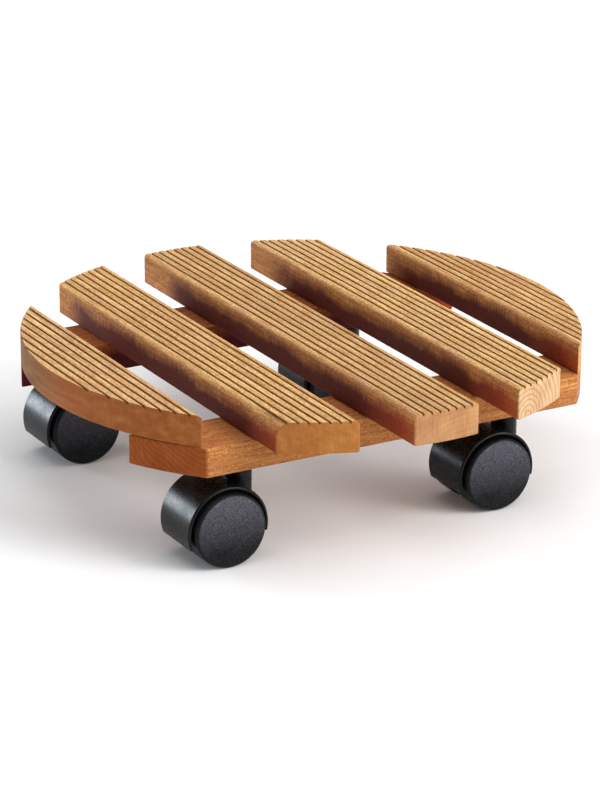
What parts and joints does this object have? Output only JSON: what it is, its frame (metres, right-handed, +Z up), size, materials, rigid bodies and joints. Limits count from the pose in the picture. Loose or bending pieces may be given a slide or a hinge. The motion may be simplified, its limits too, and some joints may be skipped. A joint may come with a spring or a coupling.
{
  "type": "plant pot caddy",
  "caption": "Low round platform of grooved wooden slats on swivel casters, for standing and rolling a potted plant.",
  "frame": {"origin": "on the floor, under the centre of the round platform", "axes": "+Z up, +X along the slats towards the front batten, +Y across the slats towards the right"},
  "size_m": [0.3, 0.3, 0.083],
  "materials": {
    "oiled_wood": "oiled, open grain",
    "black_plastic": "fine moulded texture",
    "zinc_steel": "zinc plated"
  },
  "bodies": {
    "platform": {"slat_left_outer": "oiled_wood", "slat_left_inner": "oiled_wood", "slat_centre": "oiled_wood", "slat_right_inner": "oiled_wood", "slat_right_outer": "oiled_wood", "batten_front": "oiled_wood", "batten_rear": "oiled_wood", "screw_front_left_outer": "zinc_steel", "screw_front_left_inner": "zinc_steel", "screw_front_centre": "zinc_steel", "screw_front_right_inner": "zinc_steel", "screw_front_right_outer": "zinc_steel", "screw_rear_left_outer": "zinc_steel", "screw_rear_left_inner": "zinc_steel", "screw_rear_centre": "zinc_steel", "screw_rear_right_inner": "zinc_steel", "screw_rear_right_outer": "zinc_steel", "caster_front_left_socket": "zinc_steel", "caster_front_left_stem": "zinc_steel", "caster_front_left_grip_ring": "zinc_steel", "caster_front_left_pivot_clip": "zinc_steel", "caster_front_right_socket": "zinc_steel", "caster_front_right_stem": "zinc_steel", "caster_front_right_grip_ring": "zinc_steel", "caster_front_right_pivot_clip": "zinc_steel", "caster_rear_left_socket": "zinc_steel", "caster_rear_left_stem": "zinc_steel", "caster_rear_left_grip_ring": "zinc_steel", "caster_rear_left_pivot_clip": "zinc_steel", "caster_rear_right_socket": "zinc_steel", "caster_rear_right_stem": "zinc_steel", "caster_rear_right_grip_ring": "zinc_steel", "caster_rear_right_pivot_clip": "zinc_steel"},
    "swivel_front_left": {"caster_front_left_hood": "black_plastic", "caster_front_left_axle": "zinc_steel"},
    "wheel_front_left_a": {"caster_front_left_wheel_a": "black_plastic"},
    "wheel_front_left_b": {"caster_front_left_wheel_b": "black_plastic"},
    "swivel_front_right": {"caster_front_right_hood": "black_plastic", "caster_front_right_axle": "zinc_steel"},
    "wheel_front_right_a": {"caster_front_right_wheel_a": "black_plastic"},
    "wheel_front_right_b": {"caster_front_right_wheel_b": "black_plastic"},
    "swivel_rear_left": {"caster_rear_left_hood": "black_plastic", "caster_rear_left_axle": "zinc_steel"},
    "wheel_rear_left_a": {"caster_rear_left_wheel_a": "black_plastic"},
    "wheel_rear_left_b": {"caster_rear_left_wheel_b": "black_plastic"},
    "swivel_rear_right": {"caster_rear_right_hood": "black_plastic", "caster_rear_right_axle": "zinc_steel"},
    "wheel_rear_right_a": {"caster_rear_right_wheel_a": "black_plastic"},
    "wheel_rear_right_b": {"caster_rear_right_wheel_b": "black_plastic"}
  },
  "joints": [
    {"name": "front_left_swivel", "type": "hinge", "parent": "platform", "child": "swivel_front_left", "pos_m": [0.08525, -0.08448, 0.04], "axis": [0, 0, 1], "continuous": true},
    {"name": "front_left_wheel_a_spin", "type": "hinge", "parent": "swivel_front_left", "child": "wheel_front_left_a", "pos_m": [0.08525, -0.09848, 0.02], "axis": [1, 0, 0], "continuous": true},
    {"name": "front_left_wheel_b_spin", "type": "hinge", "parent": "swivel_front_left", "child": "wheel_front_left_b", "pos_m": [0.08525, -0.09848, 0.02], "axis": [1, 0, 0], "continuous": true},
    {"name": "front_right_swivel", "type": "hinge", "parent": "platform", "child": "swivel_front_right", "pos_m": [0.08525, 0.07528, 0.04], "axis": [0, 0, 1], "continuous": true},
    {"name": "front_right_wheel_a_spin", "type": "hinge", "parent": "swivel_front_right", "child": "wheel_front_right_a", "pos_m": [0.08525, 0.06128, 0.02], "axis": [1, 0, 0], "continuous": true},
    {"name": "front_right_wheel_b_spin", "type": "hinge", "parent": "swivel_front_right", "child": "wheel_front_right_b", "pos_m": [0.08525, 0.06128, 0.02], "axis": [1, 0, 0], "continuous": true},
    {"name": "rear_left_swivel", "type": "hinge", "parent": "platform", "child": "swivel_rear_left", "pos_m": [-0.07945, -0.08448, 0.04], "axis": [0, 0, 1], "continuous": true},
    {"name": "rear_left_wheel_a_spin", "type": "hinge", "parent": "swivel_rear_left", "child": "wheel_rear_left_a", "pos_m": [-0.07945, -0.09848, 0.02], "axis": [1, 0, 0], "continuous": true},
    {"name": "rear_left_wheel_b_spin", "type": "hinge", "parent": "swivel_rear_left", "child": "wheel_rear_left_b", "pos_m": [-0.07945, -0.09848, 0.02], "axis": [1, 0, 0], "continuous": true},
    {"name": "rear_right_swivel", "type": "hinge", "parent": "platform", "child": "swivel_rear_right", "pos_m": [-0.07945, 0.07528, 0.04], "axis": [0, 0, 1], "continuous": true},
    {"name": "rear_right_wheel_a_spin", "type": "hinge", "parent": "swivel_rear_right", "child": "wheel_rear_right_a", "pos_m": [-0.07945, 0.06128, 0.02], "axis": [1, 0, 0], "continuous": true},
    {"name": "rear_right_wheel_b_spin", "type": "hinge", "parent": "swivel_rear_right", "child": "wheel_rear_right_b", "pos_m": [-0.07945, 0.06128, 0.02], "axis": [1, 0, 0], "continuous": true}
  ]
}
